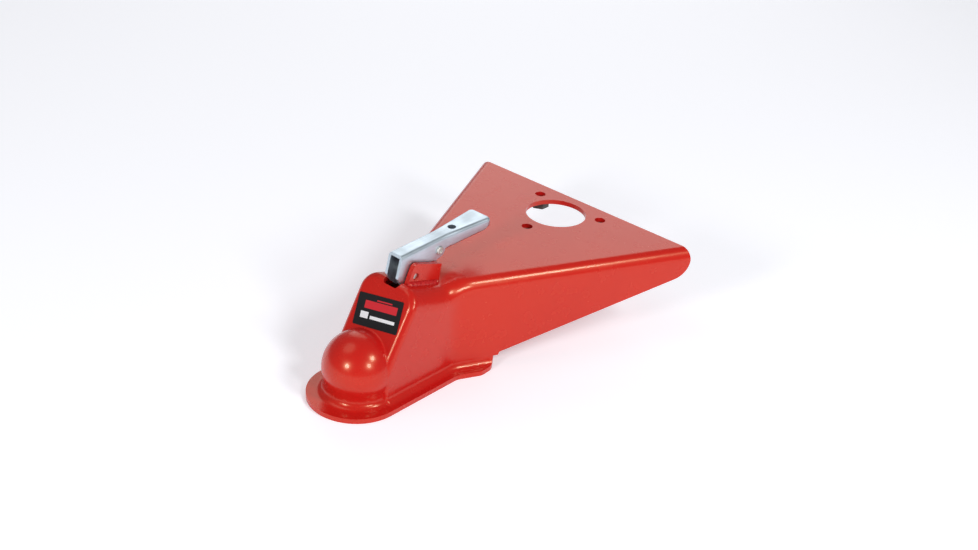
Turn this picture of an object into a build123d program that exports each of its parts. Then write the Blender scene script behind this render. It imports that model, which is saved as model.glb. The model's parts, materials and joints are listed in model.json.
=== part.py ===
"""A-frame trailer coupler with a lever latch, sized for a 2-5/16 in hitch ball.

Frame: origin at the centre of the hitch ball, +Y towards the trailer, +Z up, +X to the coupler's
left-hand side as seen from the towing vehicle. Millimetres throughout.
"""
import os
from math import cos, hypot, pi, radians, sin, sqrt, tan

from build123d import *

os.makedirs("parts", exist_ok=True)

# ---------------------------------------------------------------- driving dimensions
INCH = 25.4
RUNNING_FIT = 0.05           # radial clearance of a pin in its hole
GAP = 0.3                    # air between faces of pieces that move past each other

# pressed housing
sheet = 4.8                  # 3/16 in plate
ball_radius = 29.37          # 2-5/16 in ball
socket_radius = ball_radius + 0.33
dome_radius = socket_radius + sheet
waist_z = -14.0              # the dome tucks in under the ball down to here
flange_bottom = -30.0
flange_top = flange_bottom + sheet
flare_radius = 7.5           # bend between the walls and the flange
flange_front_radius = 45.7
flange_front_y = -3.3
ear_start = (45.7, 84.0)     # the flange's outline runs out into an ear on each side
ear_tip = (56.5, 107.0)
ear_rear = (55.6, 121.5)
ear_end = (44.0, 138.0)
neck_half_width = 34.5
plate_top = 68.0
rear_y = 314.4               # rear edge of the top plate
rear_half_width = 140.2
frame_half_angle = 25.0      # half of the 50 degree A-frame
crest_y, crest_z = 40.7, 74.8
neck_fall = 0.3075           # the neck's top falls this much per millimetre rearwards
valley_y, valley_z = 80.0, 63.4
plate_start_y = 104.0        # the top is flat from here to the rear edge
plate_skim = 0.02            # the plate is drawn this much too high, then cut flat
skim_from_y = 95.0
shoulder_radius = 20.0       # neck's top corners
plate_bend_radius = 12.5     # bend between the top plate and the side panels
wall_blend = 8.0             # half length of the turn from neck wall to side panel
face_foot_y, face_foot_z = 14.3, 34.9
face_lean = 0.552            # the neck's front face leans back this much per millimetre up
face_edge_radius = 7.0
neck_edge_radius = 4.0
crease_radius = 2.0          # where the dome meets the neck's front face
flange_end_y = 127.5
panel_foot_y, panel_foot_z = 131.6, -14.5
panel_rise = 0.3056          # lower edge of the side panels, per millimetre rearwards
rear_corner_radius = 20.0
slot_half_width = 9.2
slot_front_y, slot_rear_y = 34.3, 78.5
slot_corner = 3.0

# jack mount in the top plate
jack_y = 272.2
jack_hole_radius = 31.0
jack_pcd = 91.7              # three holes, 3-1/8 in from centre to centre
jack_bolt_radius = 7 / 16 * INCH / 2
weld_nut_height = 8.7
weld_nut_flats = 11 / 16 * INCH

# name plate on the neck's front face
label_z = 47.5
label_width, label_height, label_thickness = 52.5, 30.0, 0.3
label_tilt = 11.0            # it sits askew: turned this many degrees in its own plane

# latch bracket on the neck
ear_thickness = 4.5
bracket_half_width = slot_half_width + ear_thickness
bracket_front_y, bracket_rear_y = 44.0, 84.5
bracket_corner = 3.5         # inside corners between the ears and the web
ear_top_front = (51.8, 92.3)
ear_top_rear = (87.2, 80.6)
ear_rear_lean = 0.16         # the ears' rear edges lean back this much per millimetre up
ear_nose_radius = 6.0
catch_low, catch_high = 66.3, 76.8
catch_half_width = 5.0
bead_radius = 3.2
rear_bead_radius = 2.4

# latch linkage, all axes along X
pivot_y, pivot_z = 54.0, 78.7
pivot_radius = 3.4
pin_recess = 2.0             # the pin's ends stand back in the ears
lever_angle = 60.0
crank_radius = 12.5
draw_pin_radius = 3.2
bolt_radius = 4.76           # 3/8 in draw bolt
bolt_y = 65.9
bolt_end_z = -22.0
eye_radius = 7.0
eye_half_thickness = 4.0
eye_slot_length, eye_slot_height = 9.4, 7.2
guide_z, guide_thickness = 44.0, 5.0
guide_front_y, guide_rear_y = 54.0, 78.0
guide_hole_radius = 5.4
washer_radius, washer_thickness = 13.5, 2.5
bolt_nut_flats, bolt_nut_height = 14.3, 8.97
spring_wire = 2.6
spring_radius = 9.2
spring_turns = 5.75

# ball jaw
jaw_angle = 27.0
jaw_y, jaw_z = 39.6, 8.0
jaw_pin_radius = 5.0
jaw_boss_radius = 8.0
jaw_half_width = 22.7
jaw_tip = (13.0, -27.0)
jaw_heel = (36.0, -27.0)
lug_radius, lug_thickness = 11.0, 5.4
prong_inner, prong_outer = 6.0, 13.0
prong_height = 7.0
prong_end_radius = 7.0
fork_clearance = 0.2

# lever and trigger
rivet_y, rivet_z = 88.9, 91.4
rivet_radius = 2.5
rivet_head_radius, rivet_head_height = 4.2, 1.9
rivet_dimple_radius, rivet_dimple_depth = 2.3, 1.2
lever_sheet = 2.8
lever_front_half, lever_rear_half = 8.2, 13.8
lever_flare_y, lever_rear_y = 97.0, 154.5
lever_front_y, lever_front_z = 41.0, 101.0
lever_top_slope = 0.0500
lever_bend_radius = 3.6
lever_corner_radius = 5.0
lever_lobe_radius = 7.8
lever_side_end_y = 152.0
trigger_sheet = 2.2
trigger_angle = 3.5
trigger_rear_y = 157.0
trigger_heel_y = 150.0
trigger_bend_radius = 2.6
trigger_side_gap = 0.4
lip_y, lip_low, lip_high = 83.6, 67.2, 70.4
hook_half_width = 4.0
hook_front_y, hook_rear_y = 86.5, 90.5
lock_hole_y = 113.0
lock_hole_radius = 4.0
torsion_wire = 0.9
torsion_radius = 3.6
torsion_pitch = 1.15
torsion_turns = 4.0

# ---------------------------------------------------------------- derived dimensions
crank_start = radians(lever_angle / 2)
bolt_travel = 2 * crank_radius * sin(crank_start)
draw_pin_y = pivot_y + crank_radius * cos(crank_start)
draw_pin_z = pivot_z - crank_radius * sin(crank_start)
arm_length = bolt_travel / 2 / sin(radians(jaw_angle / 2))
arm_tip_y = jaw_y + arm_length * cos(radians(jaw_angle / 2))
arm_tip_z = jaw_z - arm_length * sin(radians(jaw_angle / 2))
flare_centre_z = flange_top + flare_radius
plate_underside = plate_top - sheet
seat_z = arm_tip_z + prong_end_radius + fork_clearance
clamp_z = arm_tip_z - prong_end_radius - fork_clearance
lever_inner_half = lever_front_half - lever_sheet
lever_flare = (lever_rear_half - lever_front_half) / (lever_rear_y - lever_flare_y)
FAR = 200.0                  # reaches past the whole object


def smooth_step(value, low, high):
    """0 below low, 1 above high, and an S-curve between."""
    share = min(max((value - low) / (high - low), 0.0), 1.0)
    return share * share * (3 - 2 * share)


def half_width(y, inset=0.0):
    """Half width of the housing's walls at station y: straight neck, blended turn, 25 degree panels."""
    slope = tan(radians(frame_half_angle))
    turn_y = rear_y - (rear_half_width - neck_half_width) / slope
    along = min(max(y - (turn_y - wall_blend), 0.0), 2 * wall_blend)
    beyond = max(y - (turn_y + wall_blend), 0.0)
    wall = neck_half_width + slope * along**2 / (4 * wall_blend) + slope * beyond
    local_slope = slope * along / (2 * wall_blend)
    return wall - inset * hypot(1, local_slope)


def crown(y, inset=0.0):
    """Height of the housing's top on the centre line at station y."""
    neck = crest_z - neck_fall * (y - crest_y)
    if y >= plate_start_y:
        return plate_top - inset if inset else plate_top + plate_skim
    if y <= valley_y - 8:
        return neck - inset * hypot(1, neck_fall)
    ramp = valley_z + (plate_top - valley_z) * smooth_step(y, valley_y, plate_start_y)
    blend = smooth_step(y, valley_y - 8, valley_y + 6)
    return neck * (1 - blend) + ramp * blend - inset


def corner_radius(y, inset=0.0):
    """Radius of the bend between the top and the walls at station y."""
    change = smooth_step(y, 56.0, 100.0)
    return shoulder_radius + (plate_bend_radius - shoulder_radius) * change - inset


def hat_loft(inset, stations, floor_z):
    """The housing's walls and top as a solid: hat-shaped sections joined from front to rear."""
    with BuildPart(mode=Mode.PRIVATE) as body:
        for y in stations:
            wall, top, bend = half_width(y, inset), crown(y, inset), corner_radius(y, inset)
            foot = half_width(y) + flare_radius
            flare = flare_radius + inset
            right = [(foot, floor_z), (foot, flare_centre_z - flare)]
            with BuildSketch(Plane.XZ.offset(-y)):
                with BuildLine():
                    Line(right[0], right[1])
                    ThreePointArc(
                        right[1],
                        (foot - flare * sin(pi / 4), flare_centre_z - flare * cos(pi / 4)),
                        (wall, flare_centre_z),
                    )
                    Line((wall, flare_centre_z), (wall, top - bend))
                    ThreePointArc(
                        (wall, top - bend),
                        (wall - bend * (1 - sin(pi / 4)), top - bend * (1 - cos(pi / 4))),
                        (wall - bend, top),
                    )
                    Line((wall - bend, top), (bend - wall, top))
                    ThreePointArc(
                        (bend - wall, top),
                        (bend * (1 - sin(pi / 4)) - wall, top - bend * (1 - cos(pi / 4))),
                        (-wall, top - bend),
                    )
                    Line((-wall, top - bend), (-wall, flare_centre_z))
                    ThreePointArc(
                        (-wall, flare_centre_z),
                        (flare * sin(pi / 4) - foot, flare_centre_z - flare * cos(pi / 4)),
                        (-foot, flare_centre_z - flare),
                    )
                    Line((-foot, flare_centre_z - flare), (-foot, floor_z))
                    Line((-foot, floor_z), (foot, floor_z))
                make_face()
        loft(ruled=True)
    return body.part


def front_waste(inset):
    """Everything in front of the neck's leaning front face, moved inwards by the inset."""
    shift = inset * hypot(1, face_lean)

    def face_y(z):
        return face_foot_y + face_lean * (z - face_foot_z) + shift

    with BuildPart(mode=Mode.PRIVATE) as waste:
        with BuildSketch(Plane.YZ):
            with BuildLine():
                Polyline((-40, -25), (face_y(-25), -25), (face_y(110), 110), (-40, 110), close=True)
            make_face()
        extrude(amount=60, both=True)
    return waste.part


def dome(inset, floor_z):
    """The ball cup: most of a sphere, a waist below it and a flare down to the flange."""
    radius = dome_radius - inset
    waist = sqrt(dome_radius**2 - waist_z**2) - inset
    cut_z = -sqrt(radius**2 - waist**2)
    foot = waist + inset + flare_radius
    flare = flare_radius + inset
    with BuildPart(mode=Mode.PRIVATE) as cup:
        with BuildSketch(Plane.XZ):
            with BuildLine():
                Line((0, floor_z), (0, radius))
                ThreePointArc((0, radius), (radius, 0), (waist, cut_z))
                Line((waist, cut_z), (waist, flare_centre_z))
                ThreePointArc(
                    (waist, flare_centre_z),
                    (foot - flare * sin(pi / 4), flare_centre_z - flare * cos(pi / 4)),
                    (foot, flare_centre_z - flare),
                )
                Line((foot, flare_centre_z - flare), (foot, floor_z))
                Line((foot, floor_z), (0, floor_z))
            make_face()
        revolve(axis=Axis.Z)
    return cup.part


def on_dome(edge):
    """Whether an edge lies on the dome's sphere, above its waist."""
    on_sphere = all(abs((edge @ share).length - dome_radius) < 0.05 for share in (0, 0.5, 1))
    return on_sphere and (edge @ 0.5).Z > waist_z + 4


def x_tube(x_from, x_to, outer_radius, bore, y, z):
    """A ring or tube along X, and its mirror image: the bore may be zero."""
    with BuildPart(mode=Mode.PRIVATE) as tube:
        with BuildSketch(Plane.YZ.offset(x_from)):
            with Locations((y, z)):
                Circle(outer_radius)
                if bore:
                    Circle(bore, mode=Mode.SUBTRACT)
        extrude(amount=x_to - x_from)
        mirror(about=Plane.YZ)
    return tube.part


# ---------------------------------------------------------------- housing
neck_stations = (0, 56, 64, 72, 78, 82, 86, 90, 94, 98, plate_start_y)
outer_stations = neck_stations + (rear_y + 10,)
inner_stations = (0.0,) + neck_stations[1:] + (rear_y + 30,)

with BuildPart() as outer:
    add(hat_loft(0.0, outer_stations, flange_bottom))
    add(front_waste(0.0), mode=Mode.SUBTRACT)
    front_face = outer.faces().filter_by(GeomType.PLANE).sort_by(
        lambda face: face.normal_at().dot(Vector(0, -1, face_lean))
    )[-1]
    fillet(front_face.edges().sort_by(Axis.Z)[1:], radius=face_edge_radius)
    side_edges = outer.edges().filter_by(Axis.Z).filter_by(lambda edge: abs(edge.center().Y) < 0.01)
    fillet(side_edges.filter_by(lambda edge: edge.center().Z > flare_centre_z), radius=neck_edge_radius)
    add(dome(0.0, flange_bottom))
    fillet(outer.edges().filter_by(on_dome), radius=crease_radius)

with BuildPart() as cavity:
    add(hat_loft(sheet, inner_stations, flange_bottom - 10))
    add(front_waste(sheet), mode=Mode.SUBTRACT)
    add(dome(sheet, flange_bottom - 10))

with BuildSketch(Plane.XY.offset(flange_bottom)) as flange_outline:
    with Locations((0, flange_front_y)):
        Circle(flange_front_radius)
    with BuildLine():
        Line((0, flange_front_y), (flange_front_radius, flange_front_y))
        Line((flange_front_radius, flange_front_y), ear_start)
        Line(ear_start, ear_tip)
        Line(ear_tip, ear_rear)
        Line(ear_rear, ear_end)
        Line(ear_end, (0, ear_end[1]))
        Line((0, ear_end[1]), (0, flange_front_y))
    make_face()
    mirror(about=Plane.YZ)
    outline_corners = vertices().filter_by(lambda v: abs(v.X) > 1 and v.Y > 50)
    fillet(outline_corners.filter_by(lambda v: v.Y < ear_start[1] + 1), radius=14)
    ear_corners = vertices().filter_by(lambda v: abs(v.X) > ear_rear[0] - 0.1)
    fillet(ear_corners, radius=13)

with BuildPart() as flange_waste:
    # what lies outside the flange's outline, as high as the bend above the flange
    with BuildSketch(Plane.XY.offset(flange_bottom - 1)):
        with Locations((0, ear_end[1] / 2)):
            Rectangle(FAR, ear_end[1] + FAR)
        add(flange_outline.sketch_local, mode=Mode.SUBTRACT)
    extrude(amount=flare_centre_z - flange_bottom + 1)

with BuildPart() as coupler_shell:
    add(outer.part)
    add(flange_outline.sketch)
    extrude(amount=sheet)
    add(cavity.part, mode=Mode.SUBTRACT)
    add(flange_waste.part, mode=Mode.SUBTRACT)
    # side view outline: flat flange, rising lower edge of the panels, rounded rear corners
    with BuildSketch(Plane.YZ):
        with BuildLine():
            Polyline(
                (-60, flange_bottom),
                (flange_end_y, flange_bottom),
                (panel_foot_y, panel_foot_z),
                (rear_y, panel_foot_z + panel_rise * (rear_y - panel_foot_y)),
                (rear_y, plate_top),
                (skim_from_y, plate_top),
                (skim_from_y, crest_z + 10),
                (-60, crest_z + 10),
                close=True,
            )
        make_face()
        fillet(vertices().group_by(Axis.X)[-1].sort_by(Axis.Y)[0], radius=rear_corner_radius)
    extrude(amount=FAR, both=True, mode=Mode.INTERSECT)
    # slot for the lever
    with BuildSketch(Plane.XY.offset(plate_top - 25)):
        with Locations((0, (slot_front_y + slot_rear_y) / 2)):
            RectangleRounded(2 * slot_half_width, slot_rear_y - slot_front_y, slot_corner)
    extrude(amount=60, mode=Mode.SUBTRACT)
    # jack tube and its three bolts
    with Locations((0, jack_y, plate_top)):
        Hole(radius=jack_hole_radius, depth=2 * sheet)
    with Locations(Location((0, jack_y, plate_top))):
        with PolarLocations(jack_pcd / 2, 3, start_angle=-90):
            Hole(radius=jack_bolt_radius, depth=2 * sheet)
coupler_shell.part.label = "coupler_shell"
export_step(coupler_shell.part, "parts/coupler_shell.step")

with BuildPart() as jack_weld_nuts:
    with BuildSketch(Plane.XY.offset(plate_underside - weld_nut_height)):
        with Locations((0, jack_y)):
            with PolarLocations(jack_pcd / 2, 3, start_angle=-90):
                RegularPolygon(weld_nut_flats / 2, 6, major_radius=False)
                Circle(jack_bolt_radius, mode=Mode.SUBTRACT)
    extrude(amount=weld_nut_height)
jack_weld_nuts.part.label = "jack_weld_nuts"
export_step(jack_weld_nuts.part, "parts/jack_weld_nuts.step")

face_normal = Vector(0, -1, face_lean).normalized()
label_y = face_foot_y + face_lean * (label_z - face_foot_z)
with BuildPart() as name_plate:
    with BuildSketch(Plane(origin=(0, label_y, label_z), x_dir=(1, 0, 0), z_dir=face_normal)):
        RectangleRounded(label_width, label_height, 1.5, rotation=label_tilt)
    extrude(amount=label_thickness)
name_plate.part.label = "name_plate"
export_step(name_plate.part, "parts/name_plate.step")

# ---------------------------------------------------------------- latch bracket and pivot
ear_rise = ear_top_rear[1] - (valley_z - 20)
with BuildPart() as latch_bracket:
    # two ears joined by a web behind the lever
    with BuildSketch(Plane.XY.offset(valley_z - 20)):
        with BuildLine():
            Polyline(
                (-bracket_half_width, bracket_front_y - 5),
                (-bracket_half_width, ear_top_rear[0] + 1),
                (-slot_half_width, ear_top_rear[0] + 1),
                (-slot_half_width, bracket_rear_y),
                (slot_half_width, bracket_rear_y),
                (slot_half_width, ear_top_rear[0] + 1),
                (bracket_half_width, ear_top_rear[0] + 1),
                (bracket_half_width, bracket_front_y - 5),
                (slot_half_width, bracket_front_y - 5),
                (slot_half_width, bracket_rear_y - ear_thickness),
                (-slot_half_width, bracket_rear_y - ear_thickness),
                (-slot_half_width, bracket_front_y - 5),
                close=True,
            )
        make_face()
        fillet(vertices().group_by(Axis.Y)[1], radius=bracket_corner)
    extrude(amount=60)
    with BuildSketch(Plane.YZ):
        with BuildLine():
            Polyline(
                (bracket_front_y, valley_z - 20),
                (bracket_front_y, crest_z),
                ear_top_front,
                ear_top_rear,
                (ear_top_rear[0] - ear_rear_lean * ear_rise, valley_z - 20),
                close=True,
            )
        make_face()
        fillet(vertices().filter_by(lambda v: v.Y > 90), radius=ear_nose_radius)
    extrude(amount=FAR, both=True, mode=Mode.INTERSECT)
    add(outer.part, mode=Mode.SUBTRACT)
    with BuildSketch(Plane.XZ.offset(-bracket_rear_y - 1)):
        with Locations((0, (catch_low + catch_high) / 2)):
            RectangleRounded(2 * catch_half_width, catch_high - catch_low, 1.5)
    extrude(amount=ear_thickness + 2, mode=Mode.SUBTRACT)
    with BuildSketch(Plane.YZ.offset(-bracket_half_width)):
        with Locations((pivot_y, pivot_z)):
            Circle(pivot_radius + RUNNING_FIT)
    extrude(amount=2 * bracket_half_width, mode=Mode.SUBTRACT)
latch_bracket.part.label = "latch_bracket"
export_step(latch_bracket.part, "parts/latch_bracket.step")

side_bead = Line((bracket_half_width, 46, crown(46)), (bracket_half_width, 80, crown(80)))
rear_foot_z = crown(bracket_rear_y)
rear_bead = Line((-4.5, bracket_rear_y, rear_foot_z), (4.5, bracket_rear_y, rear_foot_z))
with BuildPart() as bracket_welds:
    # beads along the foot of each ear and of the web between them
    for bead, radius in (
        (side_bead, bead_radius),
        (side_bead.mirror(Plane.YZ), bead_radius),
        (rear_bead, rear_bead_radius),
    ):
        with BuildSketch(Plane(origin=bead @ 0, z_dir=bead % 0)):
            Circle(radius)
        extrude(amount=bead.length)
        with Locations(bead @ 0, bead @ 1):
            Sphere(radius)
    add(outer.part, mode=Mode.SUBTRACT)
    with BuildSketch(Plane.XY.offset(valley_z - 20)):
        with Locations((0, (slot_front_y + bracket_rear_y) / 2)):
            Rectangle(2 * bracket_half_width, bracket_rear_y - slot_front_y)
    extrude(amount=60, mode=Mode.SUBTRACT)
bracket_welds.part.label = "bracket_welds"
export_step(bracket_welds.part, "parts/bracket_welds.step")

with BuildPart() as lever_pivot_pin:
    add(x_tube(0, bracket_half_width - pin_recess, pivot_radius, 0, pivot_y, pivot_z))
    fillet(lever_pivot_pin.edges().filter_by(GeomType.CIRCLE), radius=0.6)
lever_pivot_pin.part.label = "lever_pivot_pin"
export_step(lever_pivot_pin.part, "parts/lever_pivot_pin.step")

# ---------------------------------------------------------------- inside the neck
inner_half = neck_half_width - sheet
with BuildPart() as guide_plate:
    with BuildSketch(Plane.XY.offset(guide_z)):
        with Locations((0, (guide_front_y + guide_rear_y) / 2)):
            Rectangle(2 * inner_half, guide_rear_y - guide_front_y)
        with Locations((0, bolt_y)):
            Circle(guide_hole_radius, mode=Mode.SUBTRACT)
    extrude(amount=guide_thickness)
    add(coupler_shell.part, mode=Mode.SUBTRACT)
guide_plate.part.label = "guide_plate"
export_step(guide_plate.part, "parts/guide_plate.step")

hinge_bore = jaw_pin_radius + RUNNING_FIT
with BuildPart() as jaw_hinge_lugs:
    add(x_tube(inner_half - lug_thickness, inner_half, lug_radius, hinge_bore, jaw_y, jaw_z))
jaw_hinge_lugs.part.label = "jaw_hinge_lugs"
export_step(jaw_hinge_lugs.part, "parts/jaw_hinge_lugs.step")

with BuildPart() as jaw_hinge_pin:
    add(x_tube(0, inner_half - 0.2, jaw_pin_radius, 0, jaw_y, jaw_z))
    fillet(jaw_hinge_pin.edges().filter_by(GeomType.CIRCLE), radius=0.5)
jaw_hinge_pin.part.label = "jaw_hinge_pin"
export_step(jaw_hinge_pin.part, "parts/jaw_hinge_pin.step")

with BuildPart() as jaw_pin_washers:
    washer_from = jaw_half_width + GAP
    washer_to = inner_half - lug_thickness - GAP
    add(x_tube(washer_from, washer_to, jaw_boss_radius + 1, hinge_bore, jaw_y, jaw_z))
jaw_pin_washers.part.label = "jaw_pin_washers"
export_step(jaw_pin_washers.part, "parts/jaw_pin_washers.step")

# ---------------------------------------------------------------- lever


def lever_top(y):
    """Height of the lever's top face at station y."""
    return lever_front_z + lever_top_slope * (y - lever_front_y)


def tapered_plan(front_half, front_y, rear_y, corner):
    """A plan outline that is parallel up to the flare and widens behind it to rounded corners."""
    rear_half = front_half + lever_flare * (rear_y - lever_flare_y)
    with BuildSketch(mode=Mode.PRIVATE) as plan:
        with BuildLine():
            Polyline(
                (front_half, front_y),
                (front_half, lever_flare_y),
                (rear_half, rear_y),
                (-rear_half, rear_y),
                (-front_half, lever_flare_y),
                (-front_half, front_y),
                close=True,
            )
        make_face()
        fillet(vertices().group_by(Axis.Y)[1], radius=120)
        if corner:
            fillet(vertices().group_by(Axis.Y)[-1], radius=corner)
    return plan.sketch


def below_top(drop, y_from, y_to, floor_z):
    """Side view of everything below the lever's top face, lowered by drop."""
    with BuildSketch(Plane.YZ, mode=Mode.PRIVATE) as side:
        with BuildLine():
            Polyline(
                (y_from, floor_z),
                (y_from, lever_top(y_from) - drop),
                (y_to, lever_top(y_to) - drop),
                (y_to, floor_z),
                close=True,
            )
        make_face()
    return side.sketch


def long_top_edges(part):
    """The edges along both sides of a channel's top."""
    high = part.edges().filter_by(lambda edge: edge.length > 20 and edge.center().Z > 95)
    return high.filter_by(lambda edge: abs(edge.center().X) > 4)


with BuildPart() as lever_hollow:
    extrude(tapered_plan(lever_inner_half, lever_front_y - 20, lever_rear_y + 10, 0), amount=FAR)
    hollow_side = below_top(lever_sheet, lever_front_y - 20, lever_rear_y + 10, 50)
    extrude(hollow_side, amount=FAR, both=True, mode=Mode.INTERSECT)
    fillet(long_top_edges(lever_hollow.part), radius=lever_bend_radius - lever_sheet)

with BuildPart() as latch_lever:
    extrude(tapered_plan(lever_front_half, lever_front_y - 10, lever_rear_y, lever_corner_radius), amount=FAR)
    extrude(below_top(0, lever_front_y - 10, lever_rear_y, 50), amount=FAR, both=True, mode=Mode.INTERSECT)
    fillet(long_top_edges(latch_lever.part), radius=lever_bend_radius)
    add(lever_hollow.part, mode=Mode.SUBTRACT)
    # side view: legs round the pivot, a lobe round the rivet and a shallow side behind it
    with BuildSketch(Plane.YZ):
        with BuildLine():
            Polyline(
                (lever_front_y, lever_front_z + 5),
                (lever_front_y, lever_front_z),
                (36, 80),
                (40.5, 72.5),
                (48, 65.5),
                (60, 63.5),
                (70, 68.5),
                (74, 78),
                (78.6, 83.4),
                (85.5, 82.6),
                (91, 84.0),
                (96, 93.5),
                (104, 98),
                (lever_side_end_y, 99.3),
                (lever_side_end_y, lever_top(lever_rear_y) - lever_sheet),
                (lever_rear_y + 1, lever_top(lever_rear_y) - lever_sheet),
                (lever_rear_y + 1, lever_front_z + 10),
                (lever_front_y, lever_front_z + 10),
                close=True,
            )
        make_face()
        fillet(vertices().filter_by(lambda v: 35 < v.X < 76 and v.Y < 99), radius=3.2)
        with Locations((rivet_y, rivet_z)):
            Circle(lever_lobe_radius)
    extrude(amount=FAR, both=True, mode=Mode.INTERSECT)
    with BuildSketch(Plane.YZ.offset(-lever_front_half - 5)):
        with Locations((pivot_y, pivot_z)):
            Circle(pivot_radius + RUNNING_FIT)
        with Locations((draw_pin_y, draw_pin_z)):
            Circle(draw_pin_radius + RUNNING_FIT)
        with Locations((rivet_y, rivet_z)):
            Circle(rivet_radius + RUNNING_FIT)
    extrude(amount=2 * (lever_front_half + 5), mode=Mode.SUBTRACT)
    with BuildSketch(Plane.XY.offset(lever_top(lock_hole_y) - 2 * lever_sheet)):
        with Locations((0, lock_hole_y)):
            Circle(lock_hole_radius)
    extrude(amount=4 * lever_sheet, mode=Mode.SUBTRACT)
latch_lever.part.label = "latch_lever"
export_step(latch_lever.part, "parts/latch_lever.step")

with BuildPart() as trigger_rivet:
    with BuildSketch(Plane.YZ.offset(-lever_front_half - rivet_head_height)):
        with Locations((rivet_y, rivet_z)):
            Circle(rivet_head_radius)
    extrude(amount=rivet_head_height)
    fillet(trigger_rivet.faces().sort_by(Axis.X)[0].edges(), radius=rivet_head_height * 0.6)
    with BuildSketch(Plane.YZ.offset(-lever_front_half - rivet_head_height)):
        with Locations((rivet_y, rivet_z)):
            Circle(rivet_dimple_radius)
    extrude(amount=rivet_dimple_depth, mode=Mode.SUBTRACT)
    with BuildSketch(Plane.YZ.offset(-lever_front_half)):
        with Locations((rivet_y, rivet_z)):
            Circle(rivet_radius)
    extrude(amount=lever_front_half)
    mirror(about=Plane.YZ)
trigger_rivet.part.label = "trigger_rivet"
export_step(trigger_rivet.part, "parts/trigger_rivet.step")

with BuildPart() as draw_pin:
    add(x_tube(0, lever_front_half, draw_pin_radius, 0, draw_pin_y, draw_pin_z))
    fillet(draw_pin.edges().filter_by(GeomType.CIRCLE), radius=0.6)
draw_pin.part.label = "draw_pin"
export_step(draw_pin.part, "parts/draw_pin.step")

torsion_length = torsion_turns * torsion_pitch
torsion_foot = (-torsion_length / 2, rivet_y, rivet_z)
torsion_coil = Helix(
    torsion_pitch, torsion_length, torsion_radius, center=torsion_foot, direction=(1, 0, 0)
)
with BuildPart() as trigger_spring:
    with BuildSketch(Plane(origin=torsion_coil @ 0, z_dir=torsion_coil % 0)):
        Circle(torsion_wire / 2)
    sweep(path=torsion_coil, is_frenet=True)
trigger_spring.part.label = "trigger_spring"
export_step(trigger_spring.part, "parts/trigger_spring.step")

# ---------------------------------------------------------------- trigger
trigger_half = lever_inner_half - trigger_side_gap
trigger_front_y = rivet_y - 5.4
nest_drop = lever_sheet + GAP + 0.1
trigger_rear_length = trigger_rear_y - rivet_y
trigger_end_z = lever_top(trigger_rear_y) - nest_drop - tan(radians(trigger_angle)) * trigger_rear_length

with BuildPart() as trigger_body:
    extrude(tapered_plan(trigger_half, trigger_front_y, trigger_rear_y, 4.5), amount=FAR)
    with BuildSketch(Plane.YZ):
        with BuildLine():
            Polyline(
                (trigger_front_y, 86.0),
                (trigger_front_y, lever_top(trigger_front_y) - nest_drop),
                (rivet_y, lever_top(rivet_y) - nest_drop),
                (trigger_rear_y, trigger_end_z),
                (trigger_rear_y, 96.4),
                (trigger_heel_y, 92.4),
                (102.6, 87.2),
                (94.0, 84.8),
                (86.0, 84.8),
                close=True,
            )
        make_face()
        fillet(vertices().filter_by(lambda v: 99 < v.X < 105), radius=30)
        fillet(vertices().filter_by(lambda v: abs(v.X - trigger_heel_y) < 1), radius=8)
    extrude(amount=FAR, both=True, mode=Mode.INTERSECT)
    low_edges = trigger_body.edges().filter_by(lambda edge: (edge @ 0.5).Z < 94.5)
    fillet(low_edges.filter_by(lambda edge: abs((edge @ 0).Z - (edge @ 1).Z) < 7), radius=trigger_bend_radius)

with BuildPart() as trigger_hollow:
    # the channel's inside, open upwards
    hollow_half, hollow_rear_y = trigger_half - trigger_sheet, trigger_rear_y - trigger_sheet
    extrude(tapered_plan(hollow_half, trigger_front_y - 5, hollow_rear_y, 2.3), amount=FAR)
    with BuildSketch(Plane.YZ):
        with BuildLine():
            Polyline(
                (trigger_front_y - 5, 87.0),
                (94.0, 87.0),
                (102.6, 89.4),
                (trigger_heel_y - 2, 94.6),
                (trigger_rear_y, 98.9),
                (trigger_rear_y, 120),
                (trigger_front_y - 5, 120),
                close=True,
            )
        make_face()
    extrude(amount=FAR, both=True, mode=Mode.INTERSECT)

with BuildPart() as trigger:
    add(trigger_body.part)
    add(trigger_hollow.part, mode=Mode.SUBTRACT)
    # hook arm with its lip, below the channel
    with BuildSketch(Plane.YZ.offset(-hook_half_width)):
        with BuildLine():
            Polyline(
                (hook_front_y, 86.5),
                (hook_front_y, lip_high),
                (lip_y, lip_high),
                (lip_y, lip_low),
                (hook_front_y, lip_low - 0.7),
                (hook_rear_y, lip_low - 0.7),
                (hook_rear_y, 86.5),
                close=True,
            )
        make_face()
    extrude(amount=2 * hook_half_width)
    with BuildSketch(Plane.YZ.offset(-trigger_half - 1)):
        with Locations((rivet_y, rivet_z)):
            Circle(rivet_radius + RUNNING_FIT)
    extrude(amount=2 * (trigger_half + 1), mode=Mode.SUBTRACT)
    with BuildSketch(Plane.XY.offset(80)):
        with Locations((0, lock_hole_y)):
            Circle(lock_hole_radius)
    extrude(amount=12, mode=Mode.SUBTRACT)
trigger.part.label = "trigger"
export_step(trigger.part, "parts/trigger.step")

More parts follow.
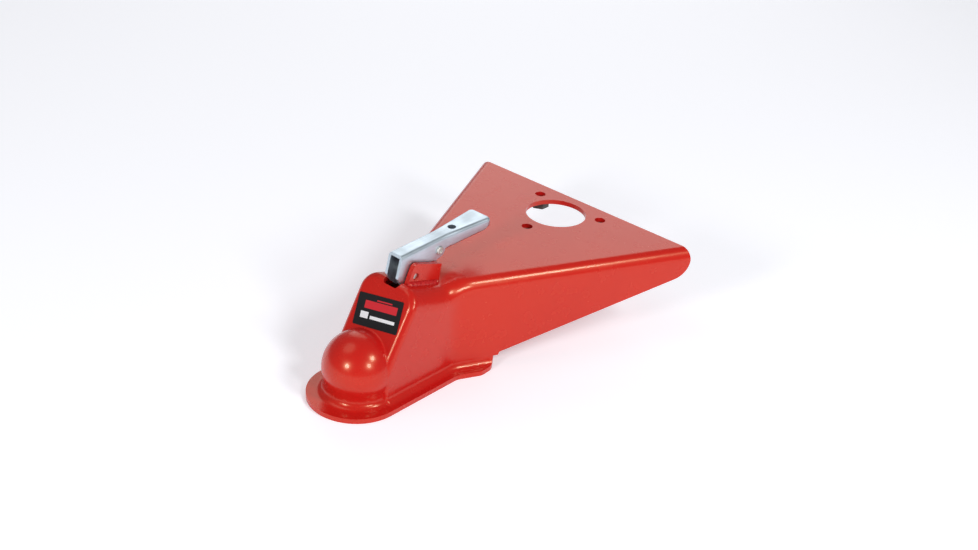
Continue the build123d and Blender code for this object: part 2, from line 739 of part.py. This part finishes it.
# ---------------------------------------------------------------- draw bolt
with BuildPart() as draw_bolt:
    with BuildSketch(Plane.YZ.offset(-eye_half_thickness)):
        with Locations((bolt_y, draw_pin_z)):
            Circle(eye_radius)
            RectangleRounded(eye_slot_length, eye_slot_height, 3.4, mode=Mode.SUBTRACT)
    extrude(amount=2 * eye_half_thickness)
    fillet(draw_bolt.edges().filter_by(GeomType.CIRCLE).sort_by(Edge.length)[-2:], radius=1.0)
    with BuildSketch(Plane.XY.offset(bolt_end_z)):
        with Locations((0, bolt_y)):
            Circle(bolt_radius)
    extrude(amount=draw_pin_z - eye_slot_height / 2 - 1.6 - bolt_end_z)
    chamfer(draw_bolt.faces().sort_by(Axis.Z)[0].edges(), length=1.0)
draw_bolt.part.label = "draw_bolt"
export_step(draw_bolt.part, "parts/draw_bolt.step")

ring_bore = bolt_radius + RUNNING_FIT
for name, ring_z in (("spring_seat_washer", seat_z), ("clamp_washer", clamp_z - washer_thickness)):
    with BuildPart() as washer:
        with BuildSketch(Plane.XY.offset(ring_z)):
            with Locations((0, bolt_y)):
                Circle(washer_radius)
                Circle(ring_bore, mode=Mode.SUBTRACT)
        extrude(amount=washer_thickness)
        fillet(washer.edges().filter_by(GeomType.CIRCLE).sort_by(Edge.length)[-2:], radius=0.5)
    washer.part.label = name
    export_step(washer.part, f"parts/{name}.step")

nut_top_z = clamp_z - washer_thickness
with BuildPart() as adjusting_nut:
    with BuildSketch(Plane.XY.offset(nut_top_z - bolt_nut_height)):
        with Locations((0, bolt_y)):
            RegularPolygon(bolt_nut_flats / 2, 6, major_radius=False)
            Circle(ring_bore, mode=Mode.SUBTRACT)
    extrude(amount=bolt_nut_height)
adjusting_nut.part.label = "adjusting_nut"
export_step(adjusting_nut.part, "parts/adjusting_nut.step")

spring_foot = seat_z + washer_thickness + spring_wire / 2
spring_height = guide_z - spring_wire / 2 - spring_foot
spring_pitch = spring_height / spring_turns
spring_coil = Helix(spring_pitch, spring_height, spring_radius, center=(0, bolt_y, spring_foot))
with BuildPart() as draw_spring:
    with BuildSketch(Plane(origin=spring_coil @ 0, z_dir=spring_coil % 0)):
        Circle(spring_wire / 2)
    sweep(path=spring_coil, is_frenet=True)
draw_spring.part.label = "draw_spring"
export_step(draw_spring.part, "parts/draw_spring.step")

# ---------------------------------------------------------------- ball jaw
prong_direction = Vector(0, arm_tip_y - jaw_y, arm_tip_z - jaw_z).normalized()
with BuildPart() as ball_jaw:
    # shoe under the rear of the ball, and the boss round the hinge pin
    with BuildSketch(Plane.YZ.offset(-jaw_half_width)):
        with BuildLine():
            Polyline(
                jaw_tip,
                jaw_heel,
                (jaw_y + jaw_boss_radius, jaw_z - 3),
                (jaw_y, jaw_z + jaw_boss_radius),
                (31.5, 13.0),
                close=True,
            )
        make_face()
        with Locations((jaw_y, jaw_z)):
            Circle(jaw_boss_radius)
    extrude(amount=2 * jaw_half_width)
    # fork that straddles the draw bolt
    prong_plane = Plane(origin=(prong_inner, jaw_y, jaw_z), x_dir=prong_direction, z_dir=(1, 0, 0))
    with BuildSketch(prong_plane):
        with Locations((arm_length / 2, 0)):
            Rectangle(arm_length, prong_height)
        with Locations((arm_length, 0)):
            Circle(prong_end_radius)
    extrude(amount=prong_outer - prong_inner)
    mirror(about=Plane.YZ)
    Sphere(socket_radius + 0.1, mode=Mode.SUBTRACT)
    with BuildSketch(Plane.YZ.offset(-jaw_half_width)):
        with Locations((jaw_y, jaw_z)):
            Circle(hinge_bore)
    extrude(amount=2 * jaw_half_width, mode=Mode.SUBTRACT)
ball_jaw.part.label = "ball_jaw"
export_step(ball_jaw.part, "parts/ball_jaw.step")
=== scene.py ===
"""Looks of an A-frame trailer coupler with a lever latch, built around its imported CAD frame.

Everything is in metres, in the frame's own axes: the hitch ball's centre is the origin, +Y runs back
along the tongue and +Z is up.
"""

import json
import logging
import math
from dataclasses import dataclass, field
from enum import Enum
from typing import Union

import bmesh
import bpy
from mathutils import Matrix, Vector

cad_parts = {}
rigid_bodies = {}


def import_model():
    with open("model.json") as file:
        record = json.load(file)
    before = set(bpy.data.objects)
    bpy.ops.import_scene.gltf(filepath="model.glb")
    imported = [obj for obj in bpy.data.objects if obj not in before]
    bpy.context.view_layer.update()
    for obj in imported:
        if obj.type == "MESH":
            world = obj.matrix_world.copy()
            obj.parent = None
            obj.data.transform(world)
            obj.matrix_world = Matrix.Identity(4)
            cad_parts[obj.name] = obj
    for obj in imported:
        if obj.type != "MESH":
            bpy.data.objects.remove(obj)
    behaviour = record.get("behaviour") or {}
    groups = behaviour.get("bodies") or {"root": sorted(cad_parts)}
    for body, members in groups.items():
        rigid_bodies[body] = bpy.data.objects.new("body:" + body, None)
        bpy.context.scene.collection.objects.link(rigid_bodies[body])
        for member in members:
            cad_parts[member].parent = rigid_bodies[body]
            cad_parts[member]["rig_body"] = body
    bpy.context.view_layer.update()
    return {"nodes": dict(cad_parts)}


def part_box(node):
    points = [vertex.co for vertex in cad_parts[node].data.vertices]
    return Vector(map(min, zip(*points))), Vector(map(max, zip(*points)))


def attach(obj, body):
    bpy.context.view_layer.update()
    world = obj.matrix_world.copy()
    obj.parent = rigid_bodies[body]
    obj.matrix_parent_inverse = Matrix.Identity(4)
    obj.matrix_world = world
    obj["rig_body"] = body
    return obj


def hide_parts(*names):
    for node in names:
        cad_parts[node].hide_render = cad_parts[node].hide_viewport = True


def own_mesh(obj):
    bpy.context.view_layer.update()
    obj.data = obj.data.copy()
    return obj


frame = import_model()
log = logging.getLogger("coupler")

MM = 0.001
MERGE_DISTANCE = 0.002 * MM  # vertices closer than this are one
FLAT_DEG = 0.15              # faces that turn by less than this are joined


# ---------------------------------------------------------------- shader maths
Value = Union["Field", float]


class Field:
    """A number that varies over a surface, with arithmetic that adds Math nodes."""

    def __init__(self, graph: "Graph", socket: bpy.types.NodeSocket) -> None:
        """Wrap a node's output.

        Args:
            graph: The material graph that the socket belongs to.
            socket: The output that carries the number.
        """
        self.graph = graph
        self.socket = socket

    def _math(self, operation: str, left: Value, right: Value) -> "Field":
        """Join two values with one Math node."""
        return self.graph.field("ShaderNodeMath", {"operation": operation}, {0: left, 1: right})

    def __add__(self, other: Value) -> "Field":
        """Sum of this field and another value."""
        return self._math("ADD", self, other)

    __radd__ = __add__

    def __sub__(self, other: Value) -> "Field":
        """This field less another value."""
        return self._math("SUBTRACT", self, other)

    def __rsub__(self, other: Value) -> "Field":
        """Another value less this field."""
        return self._math("SUBTRACT", other, self)

    def __mul__(self, other: Value) -> "Field":
        """Product of this field and another value."""
        return self._math("MULTIPLY", self, other)

    __rmul__ = __mul__

    def above(self, limit: float) -> "Field":
        """1 where this field is above the limit, 0 elsewhere."""
        return self._math("GREATER_THAN", self, limit)

    def below(self, limit: float) -> "Field":
        """1 where this field is below the limit, 0 elsewhere."""
        return self._math("LESS_THAN", self, limit)

    def size(self) -> "Field":
        """This field without its sign."""
        return self._math("ABSOLUTE", self, 0.0)

    def ramp(self, low: float, high: float) -> "Field":
        """A smooth rise from 0 at low to 1 at high."""
        limits = {0: self, 1: low, 2: high}
        return self.graph.field("ShaderNodeMapRange", {"interpolation_type": "SMOOTHSTEP"}, limits)


class Graph:
    """The node tree of one material."""

    def __init__(self, name: str) -> None:
        """Make a material with an empty node tree.

        Args:
            name: The material's name.
        """
        self.material = bpy.data.materials.new(name)
        self.material.use_nodes = True
        self.tree = self.material.node_tree
        self.tree.nodes.clear()
        self.place = self.node("ShaderNodeTexCoord").outputs["Object"]

    def node(self, kind: str, settings: dict | None = None, inputs: dict | None = None) -> bpy.types.Node:
        """Add one node.

        Args:
            kind: The node's type name.
            settings: The node's own properties; "stops" sets a colour ramp's stops.
            inputs: Values, sockets or fields for its input sockets, by name or number.

        Returns:
            The new node.
        """
        made = self.tree.nodes.new(kind)
        for key, value in (settings or {}).items():
            if key == "stops":
                self._set_stops(made.color_ramp, value)
            else:
                setattr(made, key, value)
        for key, value in (inputs or {}).items():
            source = value.socket if isinstance(value, Field) else value
            if isinstance(source, bpy.types.NodeSocket):
                self.tree.links.new(source, made.inputs[key])
            else:
                made.inputs[key].default_value = source
        return made

    @staticmethod
    def _set_stops(ramp: bpy.types.ColorRamp, stops: list) -> None:
        """Give a colour ramp its (position, colour) stops."""
        while len(ramp.elements) < len(stops):
            ramp.elements.new(0.5)
        for element, (position, colour) in zip(ramp.elements, stops):
            element.position = position
            element.color = colour

    def field(self, kind: str, settings: dict | None = None, inputs: dict | None = None) -> Field:
        """Add a node and wrap its first output."""
        return Field(self, self.node(kind, settings, inputs).outputs[0])

    def axes(self) -> tuple[Field, Field, Field]:
        """The surface point's X, Y and Z in metres."""
        split = self.node("ShaderNodeSeparateXYZ", inputs={0: self.place})
        return tuple(Field(self, output) for output in split.outputs)

    def noise(self, scale: float, detail: float = 2.0, stretch: tuple = (1, 1, 1)) -> Field:
        """Fractal noise from 0 to 1.

        Args:
            scale: Blotches per metre.
            detail: Octaves of finer noise on top.
            stretch: Frequency along X, Y and Z, as shares of the scale.

        Returns:
            The noise as a field.
        """
        spread = {"Vector": self.place, "Scale": stretch}
        where = self.node("ShaderNodeMapping", {"vector_type": "POINT"}, spread)
        inputs = {"Vector": where.outputs[0], "Scale": scale, "Detail": detail}
        return self.field("ShaderNodeTexNoise", inputs=inputs)

    def cells(self, scale: float) -> Field:
        """Distance to the nearest of scattered points, for grains and pits."""
        return self.field("ShaderNodeTexVoronoi", inputs={"Vector": self.place, "Scale": scale})

    def zigzag(self, value: Field, half_period: float) -> Field:
        """A wave that climbs from 0 to 1 over half a period and falls back over the other half."""
        limits = {0: value, 1: half_period}
        wave = self.field("ShaderNodeMath", {"operation": "PINGPONG"}, limits)
        return wave * (1 / half_period)

    def vector(self, operation: str, left: bpy.types.NodeSocket, right: tuple) -> bpy.types.Node:
        """Join a vector socket and a constant vector with one Vector Math node."""
        return self.node("ShaderNodeVectorMath", {"operation": operation}, {0: left, 1: right})

    def tint(self, share: Value, first: tuple, second: tuple) -> bpy.types.NodeSocket:
        """Mix two colours by a share that may vary.

        Args:
            share: 0 for the first colour, 1 for the second.
            first: Linear red, green and blue.
            second: Linear red, green and blue.

        Returns:
            The mixed colour's socket.
        """
        stops = [(0.0, (*first, 1.0)), (1.0, (*second, 1.0))]
        return self.node("ShaderNodeValToRGB", {"stops": stops}, {0: share}).outputs[0]

    def over(self, share: Value, base: bpy.types.NodeSocket, colour: tuple) -> bpy.types.NodeSocket:
        """Lay a plain colour over a varying one where the share is 1."""
        inputs = {0: share, 6: base, 7: (*colour, 1.0)}
        return self.node("ShaderNodeMix", {"data_type": "RGBA"}, inputs).outputs[2]

    def surface(
        self, colour: bpy.types.NodeSocket, roughness: Value, relief: Value, depth: float, **sockets
    ) -> None:
        """Finish the material with a Principled shader and one Bump node.

        Args:
            colour: The base colour's socket.
            roughness: The roughness, varying or not.
            relief: The height field of the bump, from 0 to 1.
            depth: How tall a relief of 1 is, in metres.
            sockets: Constants for other sockets, with underscores for spaces.
        """
        heights = {"Height": relief, "Distance": depth, "Strength": 1.0}
        bump = self.node("ShaderNodeBump", inputs=heights)
        inputs = {"Base Color": colour, "Roughness": roughness, "Normal": bump.outputs[0]}
        inputs.update({key.replace("_", " "): value for key, value in sockets.items()})
        shader = self.node("ShaderNodeBsdfPrincipled", inputs=inputs)
        self.node("ShaderNodeOutputMaterial", inputs={0: shader.outputs[0]})


# ---------------------------------------------------------------- finishes
@dataclass(frozen=True)
class RedPaint:
    """Gloss red paint on pressed steel, with a fine orange peel and the press's shallow waves."""

    colour: tuple = (0.57, 0.012, 0.008)
    thin_colour: tuple = (0.53, 0.008, 0.008)
    sheen: tuple = (1.0, 0.88, 0.50, 1.0)
    roughness: float = 0.24
    peel_scale: float = 520.0
    wave_scale: float = 22.0

    def material(self) -> bpy.types.Material:
        """Build the material."""
        graph = Graph("red_paint")
        peel = graph.noise(self.peel_scale, 1.0)
        waves = graph.noise(self.wave_scale, 1.0)
        cloud = graph.noise(9.0, 3.0)
        nibs = 1 - graph.cells(260.0).ramp(0.02, 0.09)
        nibs = nibs * graph.noise(38.0).ramp(0.68, 0.72)
        colour = graph.tint(cloud.ramp(0.3, 0.75), self.thin_colour, self.colour)
        roughness = self.roughness + 0.06 * graph.noise(60.0, 3.0).ramp(0.35, 0.8)
        relief = 0.15 * peel + 0.80 * waves + 0.05 * nibs
        gloss = {"Coat_Weight": 0.16, "Coat_Roughness": 0.10, "Specular_Tint": self.sheen}
        graph.surface(colour, roughness, relief, 0.00006, **gloss)
        return graph.material


class Plating(Enum):
    """The platings and bare metals of the small steel pieces: colour, darker tint and roughness."""

    ZINC = ((0.68, 0.79, 0.88), (0.56, 0.64, 0.70), 0.30)
    PIN = ((0.74, 0.72, 0.68), (0.52, 0.50, 0.46), 0.34)
    OILED = ((0.20, 0.19, 0.18), (0.09, 0.085, 0.08), 0.48)
    SPRING = ((0.30, 0.30, 0.31), (0.14, 0.14, 0.15), 0.36)


@dataclass(frozen=True)
class PlatedSteel:
    """Rolled or turned steel with a plating: soft streaks along Y, spangle and fine scratches."""

    plating: Plating
    thread_pitch: float = 0.0
    thread_top: float = 0.0

    def material(self) -> bpy.types.Material:
        """Build the material."""
        bright, dark, roughness = self.plating.value
        graph = Graph(f"steel_{self.plating.name.lower()}" + ("_threaded" if self.thread_pitch else ""))
        streaks = graph.noise(420.0, 3.0, (1.0, 0.06, 1.0))
        bloom = graph.noise(55.0, 4.0)
        grain = graph.cells(900.0)
        tint = 0.55 * bloom.ramp(0.3, 0.7) + 0.45 * streaks.ramp(0.3, 0.75)
        colour = graph.tint(tint, dark, bright)
        rough = roughness + 0.16 * (1 - bloom.ramp(0.25, 0.7)) + 0.06 * grain
        relief = 0.5 * streaks + 0.25 * grain + 0.25 * bloom
        depth = 0.00003
        if self.thread_pitch:
            _, _, height = graph.axes()
            groove = graph.zigzag(height, self.thread_pitch / 2) * height.below(self.thread_top)
            relief = 0.06 * relief + groove
            depth = self.thread_pitch * 0.5
        graph.surface(colour, rough, relief, depth, Metallic=1.0)
        return graph.material


@dataclass(frozen=True)
class PrintedFilm:
    """Black film printed with a red band and pale bars, turned in the plane of the leaning face."""

    middle: tuple
    along: tuple
    up: tuple
    black: tuple = (0.006, 0.006, 0.007)
    red: tuple = (0.60, 0.02, 0.03)
    pale: tuple = (0.80, 0.80, 0.82)
    red_bars: tuple = (((2.0, 5.2), (19.0, 3.6)), ((5.0, 10.4), (9.0, 0.6)))
    pale_bars: tuple = (((-15.0, -4.6), (4.6, 3.0)), ((6.5, -5.8), (14.5, 1.5)))

    @staticmethod
    def _inside(spots: tuple, bars: tuple) -> Field:
        """1 inside any of the bars, 0 outside.

        Args:
            spots: How far along and up the film a point lies.
            bars: Each bar's centre and half size, along and up, in millimetres.
        """
        masks = []
        for centre, half in bars:
            masks += [(spot - c * MM).size().below(h * MM) for spot, c, h in zip(spots, centre, half)]
        return (masks[0] * masks[1] + masks[2] * masks[3]).above(0.5)

    def material(self) -> bpy.types.Material:
        """Build the material."""
        graph = Graph("black_film")
        offset = graph.vector("SUBTRACT", graph.place, self.middle).outputs[0]
        reach = [graph.vector("DOT_PRODUCT", offset, way) for way in (self.along, self.up)]
        spots = tuple(Field(graph, node.outputs["Value"]) for node in reach)
        colour = graph.tint(graph.noise(80.0), self.black, tuple(1.6 * part for part in self.black))
        colour = graph.over(self._inside(spots, self.red_bars), colour, self.red)
        colour = graph.over(self._inside(spots, self.pale_bars), colour, self.pale)
        roughness = 0.42 + 0.12 * graph.noise(140.0, 3.0)
        graph.surface(colour, roughness, graph.noise(300.0, 2.0), 0.00002, Specular_IOR_Level=0.25)
        return graph.material


@dataclass(frozen=True)
class WeldBead:
    """The housing's paint over the overlapping ripples of a weld bead."""

    colour: tuple = (0.56, 0.010, 0.014)
    sheen: tuple = (1.0, 0.85, 0.55, 1.0)
    ripple_pitch: float = 2.6 * MM

    def material(self) -> bpy.types.Material:
        """Build the material."""
        graph = Graph("painted_weld")
        across, along, _ = graph.axes()
        wobble = 0.004 * graph.noise(150.0)
        ripple = graph.zigzag(along + across + wobble, self.ripple_pitch)
        relief = 0.45 * ripple + 0.55 * graph.noise(240.0).ramp(0.3, 0.7)
        colour = graph.tint(graph.noise(90.0), self.colour, tuple(0.85 * part for part in self.colour))
        gloss = {"Coat_Weight": 0.3, "Coat_Roughness": 0.12, "Specular_Tint": self.sheen}
        graph.surface(colour, 0.20 + 0.1 * graph.noise(200.0), relief, 0.0012, **gloss)
        return graph.material


@dataclass(frozen=True)
class StudioPaper:
    """Matt, nearly white paper, lit a little from behind."""

    colour: tuple = (0.86, 0.87, 0.92)
    glow: float = 0.30

    def material(self) -> bpy.types.Material:
        """Build the material."""
        graph = Graph("studio_paper")
        colour = graph.tint(graph.noise(3.0), self.colour, tuple(0.995 * part for part in self.colour))
        glow = {"Emission_Color": (0.97, 0.97, 1.0, 1.0), "Emission_Strength": self.glow}
        graph.surface(colour, 0.9, graph.noise(400.0), 0.00002, **glow)
        return graph.material


# ---------------------------------------------------------------- pieces made from the frame
def merged_copy(node: str, bevel: float, crease_deg: float = 32.0) -> bpy.types.Object:
    """Make a clean copy of a CAD node: vertices merged, flat areas joined, sharp edges eased.

    Args:
        node: The CAD node's name.
        bevel: Width of the eased edges in metres, or 0 to keep them sharp.
        crease_deg: Edges that turn by more than this count as sharp.

    Returns:
        The copy, which replaces the node and rides on its body.
    """
    source = frame["nodes"][node]
    mesh = bmesh.new()
    mesh.from_mesh(source.data)
    bmesh.ops.remove_doubles(mesh, verts=mesh.verts, dist=MERGE_DISTANCE)
    flat = math.radians(FLAT_DEG)
    bmesh.ops.dissolve_limit(mesh, angle_limit=flat, verts=mesh.verts, edges=mesh.edges)
    for edge in mesh.edges:
        edge.smooth = not (len(edge.link_faces) == 2 and edge.calc_face_angle() > math.radians(crease_deg))
    for face in mesh.faces:
        face.smooth = True
    data = bpy.data.meshes.new(node + "_look")
    mesh.to_mesh(data)
    mesh.free()
    piece = bpy.data.objects.new(node + "_look", data)
    bpy.context.scene.collection.objects.link(piece)
    if bevel:
        ease = piece.modifiers.new("eased_edges", "BEVEL")
        ease.width = bevel
        ease.segments = 3
        ease.limit_method = "ANGLE"
        ease.angle_limit = math.radians(crease_deg)
        ease.use_clamp_overlap = True
        ease.miter_outer = "MITER_ARC"
    weigh = piece.modifiers.new("flat_faces", "WEIGHTED_NORMAL")
    weigh.keep_sharp = not bevel
    weigh.weight = 80
    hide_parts(node)
    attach(piece, source["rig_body"])
    return piece


def dress(piece: bpy.types.Object, material: bpy.types.Material) -> None:
    """Give a piece one material all over.

    Args:
        piece: The piece.
        material: Its finish.
    """
    piece.data.materials.clear()
    piece.data.materials.append(material)
    log.info("%s: %s", piece.name, material.name)


# ---------------------------------------------------------------- sub-assemblies
@dataclass
class Housing:
    """The pressed shell, the latch bracket on it and what is welded inside."""

    shell_edge: float = 0.6 * MM
    bracket_edge: float = 0.5 * MM
    paint: RedPaint = field(default_factory=RedPaint)
    weld: WeldBead = field(default_factory=WeldBead)

    def build(self) -> None:
        """Build and dress every piece of the housing."""
        paint = self.paint.material()
        dress(merged_copy("coupler_shell", self.shell_edge), paint)
        dress(merged_copy("latch_bracket", self.bracket_edge), paint)
        dress(merged_copy("bracket_welds", 0.0), self.weld.material())
        oiled = PlatedSteel(Plating.OILED).material()
        for node in ("jack_weld_nuts", "guide_plate", "jaw_hinge_lugs"):
            dress(merged_copy(node, 0.4 * MM), oiled)
        pin = PlatedSteel(Plating.PIN).material()
        for node in ("lever_pivot_pin", "jaw_hinge_pin", "jaw_pin_washers"):
            dress(merged_copy(node, 0.25 * MM), pin)


@dataclass
class NamePlate:
    """The printed film on the neck's front face."""

    lean: float = 0.552
    tilt_deg: float = 11.0

    def build(self) -> None:
        """Build and dress the film."""
        low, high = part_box("name_plate")
        middle = tuple((low + high) / 2)
        climb = Vector((0.0, self.lean, 1.0)).normalized()
        across = Vector((1.0, 0.0, 0.0))
        turn = math.radians(self.tilt_deg)
        along = math.cos(turn) * across + math.sin(turn) * climb
        up = math.cos(turn) * climb - math.sin(turn) * across
        film = PrintedFilm(middle, tuple(along), tuple(up))
        dress(merged_copy("name_plate", 0.0), film.material())


@dataclass
class Latch:
    """Lever, trigger, their rivet, pin and spring."""

    sheet_edge: float = 0.45 * MM
    turned_edge: float = 0.25 * MM

    def build(self) -> None:
        """Build and dress the latch."""
        zinc = PlatedSteel(Plating.ZINC).material()
        pin = PlatedSteel(Plating.PIN).material()
        for node in ("latch_lever", "trigger"):
            dress(merged_copy(node, self.sheet_edge), zinc)
        for node in ("trigger_rivet", "draw_pin"):
            dress(merged_copy(node, self.turned_edge), pin)
        dress(merged_copy("trigger_spring", 0.0), PlatedSteel(Plating.SPRING).material())


@dataclass
class DrawGear:
    """The draw bolt, its washers, nut and spring, and the jaw that it pulls."""

    thread_pitch: float = 1.6 * MM
    thread_top: float = -5.0 * MM
    bolt_lift: float = 12.6 * MM

    def build(self) -> None:
        """Build and dress the draw gear; the coil gets a mesh of its own."""
        threaded = PlatedSteel(Plating.ZINC, self.thread_pitch, self.thread_top).material()
        zinc = PlatedSteel(Plating.ZINC).material()
        dress(merged_copy("draw_bolt", 0.3 * MM), threaded)
        for node in ("spring_seat_washer", "clamp_washer", "adjusting_nut"):
            dress(merged_copy(node, 0.25 * MM), zinc)
        coil = merged_copy("draw_spring", 0.0)
        dress(coil, PlatedSteel(Plating.SPRING).material())
        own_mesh(coil)
        dress(merged_copy("ball_jaw", 0.8 * MM), PlatedSteel(Plating.OILED).material())


# ---------------------------------------------------------------- studio
@dataclass
class Studio:
    """Pale floor, soft lights and the camera."""

    floor_half: float = 6.0
    softboxes: tuple = (
        ("left_softbox", 4.4, 25.0, 2.6, 0.52, 24.0),
        ("right_softbox", 79.4, 29.0, 2.6, 0.48, 18.0),
        ("bend_light", 103.0, 44.0, 2.6, 0.55, 21.0),
        ("back_light", 219.0, 30.0, 2.6, 2.2, 15.5),
        ("front_fill", -50.0, 62.0, 2.8, 1.6, 7.0),
    )
    eye: tuple = (0.69112, -0.66789, 0.63394)
    azimuth_deg: float = 39.41
    elevation_deg: float = 28.97
    roll_deg: float = 4.96
    lens: float = 46.39

    def build(self) -> None:
        """Build the floor, the lights and the camera."""
        self._floor()
        self._world()
        for softbox in self.softboxes:
            self._softbox(*softbox)
        self._camera()

    def _floor(self) -> None:
        """A large sheet of paper just under the coupler's flange."""
        mesh = bmesh.new()
        bmesh.ops.create_grid(mesh, x_segments=1, y_segments=1, size=self.floor_half)
        bmesh.ops.translate(mesh, verts=mesh.verts, vec=(0, 0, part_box("coupler_shell")[0].z - 0.2 * MM))
        data = bpy.data.meshes.new("floor")
        mesh.to_mesh(data)
        mesh.free()
        floor = bpy.data.objects.new("floor", data)
        bpy.context.scene.collection.objects.link(floor)
        floor.data.materials.append(StudioPaper().material())

    def _world(self) -> None:
        """A plain white surround, shown with its plain tones."""
        bpy.context.scene.view_settings.view_transform = "Standard"
        world = bpy.data.worlds.new("surround")
        world.use_nodes = True
        ground = world.node_tree.nodes["Background"]
        ground.inputs["Color"].default_value = (1.0, 1.0, 1.0, 1.0)
        ground.inputs["Strength"].default_value = 0.20
        bpy.context.scene.world = world

    def _softbox(
        self, name: str, azimuth: float, elevation: float, distance: float, size: float, power: float
    ) -> None:
        """A round soft light that faces the origin.

        Args:
            name: The light's name.
            azimuth: Degrees round from the front, towards +X.
            elevation: Degrees up from the floor.
            distance: Metres from the origin.
            size: Diameter in metres.
            power: Watts.
        """
        light = bpy.data.lights.new(name, "AREA")
        light.shape = "DISK"
        light.size = size
        light.energy = power
        lamp = bpy.data.objects.new(name, light)
        turn, rise = math.radians(azimuth), math.radians(elevation)
        way = Vector((math.sin(turn) * math.cos(rise), -math.cos(turn) * math.cos(rise), math.sin(rise)))
        lamp.location = way * distance
        lamp.rotation_euler = way.to_track_quat("Z", "Y").to_euler()
        bpy.context.scene.collection.objects.link(lamp)

    def _camera(self) -> None:
        """The camera, looking down on the coupler's front corner."""
        angles = (self.azimuth_deg, self.elevation_deg, self.roll_deg)
        turn, rise, roll = (math.radians(angle) for angle in angles)
        back = Vector((math.sin(turn) * math.cos(rise), -math.cos(turn) * math.cos(rise), math.sin(rise)))
        right = Vector((math.cos(turn), math.sin(turn), 0.0))
        up = back.cross(right)
        side = math.cos(roll) * right + math.sin(roll) * up
        top = math.cos(roll) * up - math.sin(roll) * right
        view = Matrix((side, top, back)).transposed().to_4x4()
        view.translation = Vector(self.eye)
        data = bpy.data.cameras.new("view")
        data.lens = self.lens
        camera = bpy.data.objects.new("view", data)
        camera.matrix_world = view
        bpy.context.scene.collection.objects.link(camera)
        bpy.context.scene.camera = camera


def main() -> None:
    """Build the studio and the coupler."""
    logging.basicConfig(level=logging.INFO, format="%(name)s: %(message)s")
    for part in (Studio(), Housing(), NamePlate(), Latch(), DrawGear()):
        part.build()
        log.info("built %s", type(part).__name__)


if __name__ == "__main__":
    main()
